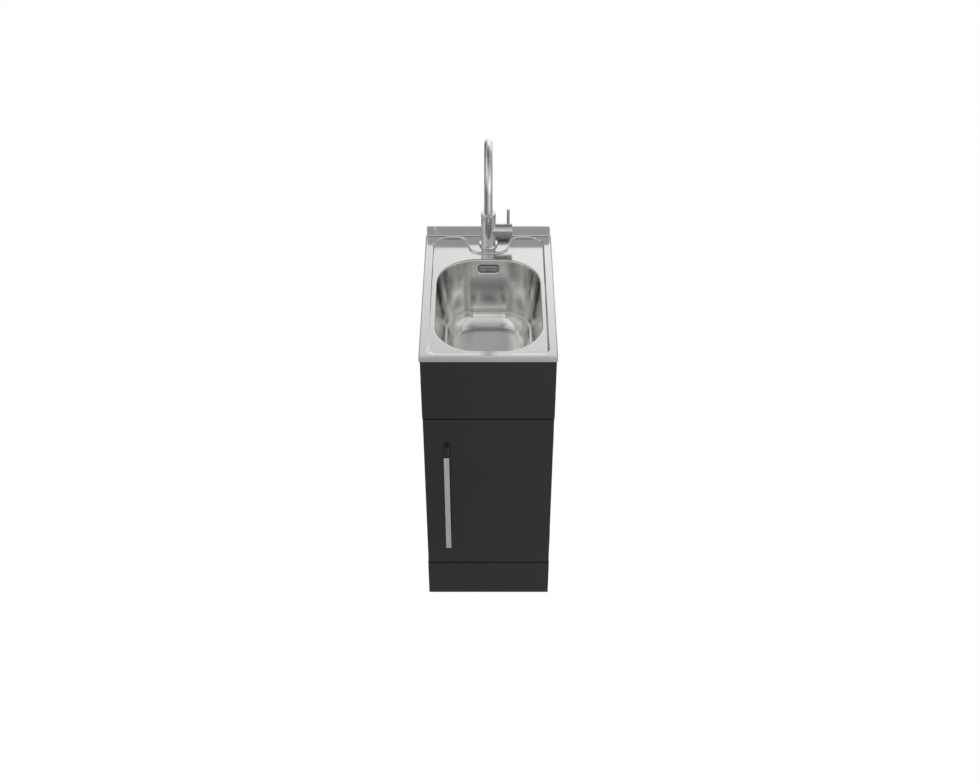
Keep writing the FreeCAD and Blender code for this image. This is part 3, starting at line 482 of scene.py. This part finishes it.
MATERIALS = {
    "stainless_steel": steel("stainless_steel", (0.62, 0.617, 0.61), 0.15, (900.0, 12.0, 12.0)),
    "bowl_steel": steel("bowl_steel", (0.76, 0.755, 0.745), 0.16, (14.0, 14.0, 500.0), 0.02, 0.000008),
    "tap_chrome": polished("tap_chrome", (0.64, 0.64, 0.64), 0.04),
    "handle_steel": steel("handle_steel", (0.62, 0.615, 0.61), 0.24, (900.0, 900.0, 10.0)),
    "dark_board": board("dark_board", (0.008, 0.008, 0.0084), 0.24, 1.5),
    "carcass_board": board("carcass_board", (0.009, 0.009, 0.0094), 0.34, 1.38),
    "back_board": board("back_board", (0.03, 0.03, 0.032), 0.5, 1.42, 0.15),
    "plated_steel": plated("plated_steel", (0.55, 0.56, 0.57)),
    "brass_fitting": plated("brass_fitting", (0.72, 0.52, 0.24), 0.25),
    "black_rubber": moulded("black_rubber", (0.02, 0.02, 0.02), 0.7, 500.0, 0.25),
    "black_plastic": moulded("black_plastic", (0.022, 0.022, 0.023)),
    "white_plastic": moulded("white_plastic", (0.75, 0.75, 0.73), 0.38),
    "can_plastic": moulded("can_plastic", (0.70, 0.74, 0.76), 0.42, 350.0, 0.2),
    "grey_can_plastic": moulded("grey_can_plastic", (0.20, 0.21, 0.22), 0.42, 350.0, 0.2),
    "clear_grey_hose": moulded("clear_grey_hose", (0.42, 0.44, 0.46), 0.3, 300.0, 0.1),
    "motor_paint": moulded("motor_paint", (0.03, 0.03, 0.034), 0.4, 600.0, 0.3),
}


def dress_cad():
    """Every CAD node takes the material of its slot, and the boards' edges are softened."""
    slots = {entry["node"]: entry["material_slot"] for entry in frame["record"]["subparts"]}
    for name, piece in frame["nodes"].items():
        piece.data.materials.clear()
        piece.data.materials.append(MATERIALS[slots[name]])
        if slots[name] in BOARD_SLOTS:
            edges = piece.modifiers.new("edges", "BEVEL")
            edges.width = BOARD_EDGE * MM
            edges.segments = 2
            edges.limit_method = "ANGLE"
            edges.angle_limit = math.radians(40)
            edges.harden_normals = True


# ---------------------------------------------------------------- sink top

def arc_points(cx, cy, radius, start, end, count):
    angles = np.linspace(start, end, count)
    return [(cx + radius * math.cos(a), cy + radius * math.sin(a)) for a in angles]


def recess_path():
    """Closed outline of the pressed recess, round the tap's ledge."""
    quarter = math.pi / 2
    outer_y = RECESS_BACK_Y - LEDGE_OUTER_RADIUS
    inner_y = LEDGE_FRONT_Y + LEDGE_INNER_RADIUS
    run_y = outer_y + LEDGE_OUTER_RADIUS * math.sin(LEDGE_SLANT)
    drop = run_y - (inner_y - LEDGE_INNER_RADIUS * math.sin(LEDGE_SLANT))
    radii = LEDGE_OUTER_RADIUS + LEDGE_INNER_RADIUS
    inner_x = LEDGE_OUTER_X - radii * math.cos(LEDGE_SLANT) - drop * math.tan(LEDGE_SLANT)
    corner_x = RECESS_HALF_WIDTH - RECESS_CORNER
    corner_y = RECESS_BACK_Y - RECESS_CORNER
    small = RECESS_FRONT_CORNER
    right = arc_points(RECESS_HALF_WIDTH - small, RECESS_FRONT_Y + small, small, -quarter, 0.0, 16)
    right += arc_points(corner_x, corner_y, RECESS_CORNER, 0.0, quarter, 30)
    right += arc_points(LEDGE_OUTER_X, outer_y, LEDGE_OUTER_RADIUS, quarter, math.pi - LEDGE_SLANT, 24)
    right += arc_points(inner_x, inner_y, LEDGE_INNER_RADIUS, -LEDGE_SLANT, -quarter, 30)
    left = [(-x, y) for x, y in reversed(right)]
    return np.array(right + left)


def inside_distance(points, outline):
    """Distance of each point to a closed outline, positive inside it."""
    ends = np.roll(outline, -1, axis=0)
    nearest = np.full(len(points), 1e9)
    inside = np.zeros(len(points), dtype=bool)
    for (ax, ay), (bx, by) in zip(outline, ends):
        run_x, run_y = bx - ax, by - ay
        length = run_x * run_x + run_y * run_y
        if length < 1e-12:
            continue
        share = np.clip(((points[:, 0] - ax) * run_x + (points[:, 1] - ay) * run_y) / length, 0.0, 1.0)
        gap_x = points[:, 0] - ax - share * run_x
        gap_y = points[:, 1] - ay - share * run_y
        nearest = np.minimum(nearest, np.hypot(gap_x, gap_y))
        crosses = (ay > points[:, 1]) != (by > points[:, 1])
        if abs(run_y) > 1e-12:
            at_x = ax + (points[:, 1] - ay) * run_x / run_y
            inside ^= crosses & (points[:, 0] < at_x)
    return np.where(inside, nearest, -nearest)


def deck_height(points):
    """Height of the pressed deck at plan points: 0 on its high level, -RECESS_DEPTH in the recess."""
    frontness = smoothstep((FRONT_STEP_Y - points[:, 1]) / FRONT_STEP_BLEND)
    width = STEP_WIDTH + (FRONT_STEP_WIDTH - STEP_WIDTH) * frontness
    inside = inside_distance(points, recess_path())
    return -RECESS_DEPTH * smootherstep(inside / width + 0.5)


def core_point(x, y):
    """Nearest point of the bowl's core rectangle, from which its outlines are offset."""
    return max(-CORE_X, min(CORE_X, x)), BOWL_Y + max(-CORE_Y, min(CORE_Y, y - BOWL_Y))


def opening_rays(loop):
    """Core points of plan points, the directions from core to point, and the distances."""
    cores = np.array([core_point(x, y) for x, y in loop])
    away = np.array(loop) - cores
    lengths = np.hypot(away[:, 0], away[:, 1])
    return cores, away / lengths[:, None], lengths


def spread(start, end, count):
    """Evenly spaced values from start up to, but without, end."""
    return np.linspace(start, end, count + 1)[:-1]


def deck_boundary():
    """Plan points round the flat of the deck, anticlockwise from its back right corner."""
    x = HALF_WIDTH - BEND
    front = FRONT_Y + BEND
    back = BACK_Y - UPSTAND_THICKNESS - COVE
    loop = [(-value, back) for value in spread(-x, x, BACK_COLUMNS)]
    loop += [(-x, value) for value in spread(back, TAP_END_Y, TAP_END_COLUMNS)]
    loop += [(-x, value) for value in spread(TAP_END_Y, front, SIDE_COLUMNS)]
    loop += [(value, front) for value in spread(-x, x, FRONT_COLUMNS)]
    loop += [(x, value) for value in spread(front, TAP_END_Y, SIDE_COLUMNS)]
    loop += [(x, value) for value in spread(TAP_END_Y, back, TAP_END_COLUMNS)]
    return loop


def rim_rows():
    """(offset from the opening's outline, drop) down the rolled rim into the bowl's wall."""
    rows = [(ROLL + RIM_FLAT, 0.0)]
    for angle in np.linspace(0, ROLL_TURN, ROLL_ROWS):
        rows.append((ROLL * (1 - math.sin(angle)), ROLL * (1 - math.cos(angle))))
    return rows


def make_deck():
    """Pressed deck from its edge over the rolled rim, with the top of the bowl's wall."""
    loop = deck_boundary()
    cores, outward, lengths = opening_rays(loop)
    reach = lengths - RIM_RADIUS
    rim = rim_rows()
    first = rim[0][0]
    plan = []
    heights = []
    for share in np.linspace(0.0, 1.0, DECK_ROWS):
        offset = RIM_RADIUS + reach + (first - reach) * share
        points = cores + outward * offset[:, None]
        plan.append(points)
        heights.append(deck_height(points))
    for offset, drop in rim[1:]:
        points = cores + outward * (RIM_RADIUS + offset)
        plan.append(points)
        heights.append(deck_height(points) - drop)
    # the wall goes on down to a level line, where the bowl takes over
    rim_offset = rim[-1][0]
    rim_height = heights[-1]
    for share in WALL_TOP_SHARES:
        height = rim_height * (1 - share) - WALL_TOP_DEPTH * share
        offset = RIM_RADIUS + rim_offset - (rim_height - height) * WALL_LEAN
        plan.append(cores + outward * offset[:, None])
        heights.append(height)
    vertices = []
    for points, levels in zip(plan, heights):
        for (x, y), z in zip(points, levels):
            vertices.append((x * MM, y * MM, (DECK_Z + z) * MM))
    faces = grid_faces(len(plan), len(loop), close_columns=True)
    return mesh_object("sink_top_sheet", vertices, faces)


def lip_profile():
    """(outward, down) from the deck's edge over a tight fold and a slow curve to the upright lip."""
    rows = []
    for angle in np.linspace(0.0, EDGE_TURN, FOLD_ROWS):
        rows.append((EDGE_RADIUS * math.sin(angle), EDGE_RADIUS * (1 - math.cos(angle))))
    out, down = rows[-1]
    radius = (BEND - out) / (1 - math.sin(EDGE_TURN))
    for angle in np.linspace(EDGE_TURN, math.pi / 2, CURVE_ROWS + 1)[1:]:
        reach = radius * (math.sin(angle) - math.sin(EDGE_TURN))
        rows.append((out + reach, down + radius * (math.cos(EDGE_TURN) - math.cos(angle))))
    depth = DECK_Z - LIP_BOTTOM
    rows += [(BEND, (rows[-1][1] + depth) / 2), (BEND, depth - LIP_EDGE_RISE)]
    rows += [(BEND - LIP_EDGE_INSET, depth)]
    return rows


def make_lip():
    """Bend and lip along the front and both sides, to weld to the deck's edge.

    The faces turn inward, so the sheet's thickness is added outside them.
    """
    x = HALF_WIDTH - BEND
    front = FRONT_Y + BEND
    columns = [((-x, BACK_Y), (-1.0, 0.0))]
    boundary = deck_boundary()
    for px, py in boundary[1:] + boundary[:1]:
        if py == front and abs(px) == x:
            turn = (math.pi, 1.5 * math.pi) if px < 0 else (1.5 * math.pi, 2 * math.pi)
            for angle in np.linspace(*turn, CORNER_COLUMNS):
                columns.append(((px, py), (math.cos(angle), math.sin(angle))))
        elif py == front:
            columns.append(((px, py), (0.0, -1.0)))
        elif abs(px) == x:
            columns.append(((px, py), (math.copysign(1.0, px), 0.0)))
    columns.append(((x, BACK_Y), (1.0, 0.0)))
    vertices = []
    profile = lip_profile()
    for out, down in profile:
        for (px, py), (dx, dy) in columns:
            vertices.append(((px + dx * out) * MM, (py + dy * out) * MM, (DECK_Z - down) * MM))
    return mesh_object("lip", vertices, grid_faces(len(profile), len(columns)))


def make_upstand():
    """Folded upstand: a plate with rounded corners that stands on the deck's back edge."""
    half = HALF_WIDTH - UPSTAND_INSET
    corner_x = half - UPSTAND_CORNER
    corner_z = UPSTAND_TOP - DECK_Z - UPSTAND_CORNER
    quarter = math.pi / 2
    outline = [(-half, -SHEET)]
    outline += arc_points(-corner_x, corner_z, UPSTAND_CORNER, math.pi, quarter, CORNER_POINTS)
    outline += arc_points(corner_x, corner_z, UPSTAND_CORNER, quarter, 0.0, CORNER_POINTS)
    outline += [(half, -SHEET)]
    form = bmesh.new()
    face_y = BACK_Y - UPSTAND_THICKNESS
    front = [form.verts.new((x * MM, face_y * MM, (DECK_Z + z) * MM)) for x, z in outline]
    form.faces.new(front)
    made = bmesh.ops.extrude_face_region(form, geom=form.faces[:])
    moved = [item for item in made["geom"] if isinstance(item, bmesh.types.BMVert)]
    bmesh.ops.translate(form, verts=moved, vec=(0, UPSTAND_THICKNESS * MM, 0))
    bmesh.ops.recalc_face_normals(form, faces=form.faces[:])
    rims = []
    for edge in form.edges:
        first, second = (vertex.co.y for vertex in edge.verts)
        if abs(first - second) < 1e-7 and edge.calc_face_angle(0) > SHARP_EDGE:
            rims.append(edge)
    bmesh.ops.bevel(form, geom=rims, offset=UPSTAND_ROUNDING * MM, segments=3, affect="EDGES", profile=0.5)
    mesh = bpy.data.meshes.new("upstand")
    form.to_mesh(mesh)
    form.free()
    return linked("upstand", mesh)


def make_cove():
    """Small cove that joins the deck's back edge to the upstand's face."""
    half = HALF_WIDTH - UPSTAND_INSET
    face_y = BACK_Y - UPSTAND_THICKNESS
    vertices = []
    for angle in np.linspace(0, math.pi / 2, COVE_ROWS):
        y = face_y - COVE + COVE * math.sin(angle)
        z = DECK_Z + COVE * (1 - math.cos(angle))
        for x in np.linspace(-half + COVE_INSET, half - COVE_INSET, COVE_COLUMNS):
            vertices.append((x * MM, y * MM, z * MM))
    faces = [tuple(reversed(face)) for face in grid_faces(COVE_ROWS, COVE_COLUMNS)]
    return mesh_object("cove", vertices, faces)


def merged(name, pieces, weld=0.0):
    """One mesh of several pieces, with their modifiers applied."""
    form = bmesh.new()
    graph = bpy.context.evaluated_depsgraph_get()
    for piece in pieces:
        mesh = bpy.data.meshes.new_from_object(piece.evaluated_get(graph))
        mesh.transform(piece.matrix_world)
        form.from_mesh(mesh)
    if weld:
        bmesh.ops.remove_doubles(form, verts=form.verts[:], dist=weld)
    mesh = bpy.data.meshes.new(name)
    form.to_mesh(mesh)
    form.free()
    for piece in pieces:
        bpy.data.objects.remove(piece)
    return linked(name, mesh)


def thicken(piece):
    """Sheet thickness, added on the side that the faces turn away from."""
    sheet = piece.modifiers.new("sheet", "SOLIDIFY")
    sheet.thickness = SHEET * MM
    sheet.offset = -1.0


def make_sink_top():
    """Deck, lip and upstand in one piece, in place of the CAD deck."""
    sheet = merged("sheet", [make_deck(), make_lip()], weld=WELD * MM)
    thicken(sheet)
    top = merged("sink_top", [sheet, make_upstand(), make_cove()])
    top.data.materials.append(MATERIALS["stainless_steel"])
    balance = top.modifiers.new("normals", "WEIGHTED_NORMAL")
    balance.keep_sharp = True
    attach(top, "cabinet")
    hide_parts("sink_deck")


def bowl_section():
    """(inward, depth) of each row of BOWL_SECTION, from the level line under the rim."""
    inward = 0.0
    depth = WALL_TOP_DEPTH
    rows = [(inward, depth)]
    for length, first, last, count in BOWL_SECTION:
        for index in range(count):
            angle = math.radians(first + (last - first) * (index + 0.5) / count)
            inward += math.sin(angle) * length / count
            depth += math.cos(angle) * length / count
            rows.append((inward, depth))
    return rows


def bowl_rows(loop):
    """(plan points, depth) of each row, down the bowl's wall and over its floor to the drain."""
    cores, outward, _ = opening_rays(loop)
    rim_offset, rim_drop = rim_rows()[-1]
    rim_height = deck_height(cores + outward * (RIM_RADIUS + rim_offset)) - rim_drop
    start = RIM_RADIUS + rim_offset - (WALL_TOP_DEPTH + rim_height) * WALL_LEAN
    rows = []
    for inward, depth in bowl_section():
        rows.append((cores + outward * (start - inward)[:, None], depth))
    edge, edge_depth = rows[-1]
    angles = np.arctan2(edge[:, 1] - DRAIN_Y, edge[:, 0])
    circle = np.stack([np.cos(angles), np.sin(angles)], axis=1)
    centre = np.array([0.0, DRAIN_Y])
    for share in np.linspace(0, 1, FLOOR_ROWS + 1)[1:]:
        points = edge * (1 - share) + (centre + circle * DRAIN_RINGS[0]) * share
        rows.append((points, edge_depth + (FLOOR_DEPTH - edge_depth) * float(smoothstep(share))))
    for radius in DRAIN_RINGS[1:]:
        rows.append((centre + circle * radius, FLOOR_DEPTH))
    return rows


def make_bowl():
    """Bowl under the rim, on every second of the deck's columns."""
    loop = deck_boundary()[::2]
    rows = bowl_rows(loop)
    vertices = []
    for points, depth in rows:
        for x, y in points:
            vertices.append((x * MM, y * MM, (DECK_Z - depth) * MM))
    bowl = mesh_object("sink_basin", vertices, grid_faces(len(rows), len(loop), close_columns=True))
    thicken(bowl)
    cut_overflow(bowl)
    bowl.data.materials.append(MATERIALS["bowl_steel"])
    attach(bowl, "cabinet")
    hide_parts("sink_bowl")


def rounded_block(name, half_x, half_z, radius, y0, y1, centre_z, segments=8):
    """Upright rounded rectangle, from y0 back to y1."""
    outline = []
    for sx, sz, start in ((1, 1, 0.0), (-1, 1, 0.5), (-1, -1, 1.0), (1, -1, 1.5)):
        cx, cz = sx * (half_x - radius), sz * (half_z - radius)
        outline += arc_points(cx, cz, radius, start * math.pi, (start + 0.5) * math.pi, segments)
    vertices = [(x * MM, y0 * MM, (centre_z + z) * MM) for x, z in outline]
    vertices += [(x * MM, y1 * MM, (centre_z + z) * MM) for x, z in outline]
    count = len(outline)
    faces = [tuple(range(count)), tuple(reversed(range(count, 2 * count)))]
    faces += [(i, i + count, (i + 1) % count + count, (i + 1) % count) for i in range(count)]
    return mesh_object(name, vertices, faces, smooth=False)


def cut_overflow(bowl):
    """Apply the bowl's thickness and cut a slot a little larger than the overflow plate."""
    centre_z = (PLATE_BOX[0].z + PLATE_BOX[1].z) / 2
    half_x = PLATE_BOX[1].x + OVERFLOW_GAP
    half_z = (PLATE_BOX[1].z - PLATE_BOX[0].z) / 2 + OVERFLOW_GAP
    front = PLATE_BOX[0].y - OVERFLOW_CUT_FRONT
    back = PLATE_BOX[0].y + OVERFLOW_CUT_BACK
    tool = rounded_block("overflow_tool", half_x, half_z, OVERFLOW_CORNER, front, back, centre_z)
    cut = bowl.modifiers.new("overflow", "BOOLEAN")
    cut.operation = "DIFFERENCE"
    cut.solver = "EXACT"
    cut.object = tool
    graph = bpy.context.evaluated_depsgraph_get()
    mesh = bpy.data.meshes.new_from_object(bowl.evaluated_get(graph))
    bowl.modifiers.clear()
    bowl.data = mesh
    bpy.data.objects.remove(tool)


def make_overflow_ribs():
    """Two slim ribs across the overflow plate."""
    centre_z = (PLATE_BOX[0].z + PLATE_BOX[1].z) / 2
    front = PLATE_BOX[0].y - RIB_RELIEF
    back = PLATE_BOX[0].y + RIB_SUNK
    ribs = []
    for z in (centre_z - RIB_SPACING / 2, centre_z + RIB_SPACING / 2):
        rib = rounded_block("rib", RIB_LENGTH / 2, RIB_HEIGHT / 2, RIB_RADIUS, front, back, z)
        edge = rib.modifiers.new("edge", "BEVEL")
        edge.width = RIB_EDGE * MM
        edge.segments = 3
        ribs.append(rib)
    both = merged("overflow_ribs", ribs)
    both.data.materials.append(MATERIALS["stainless_steel"])
    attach(both, "cabinet")


# ---------------------------------------------------------------- the whole scene

make_stage()
dress_cad()
make_sink_top()
make_bowl()
make_overflow_ribs()
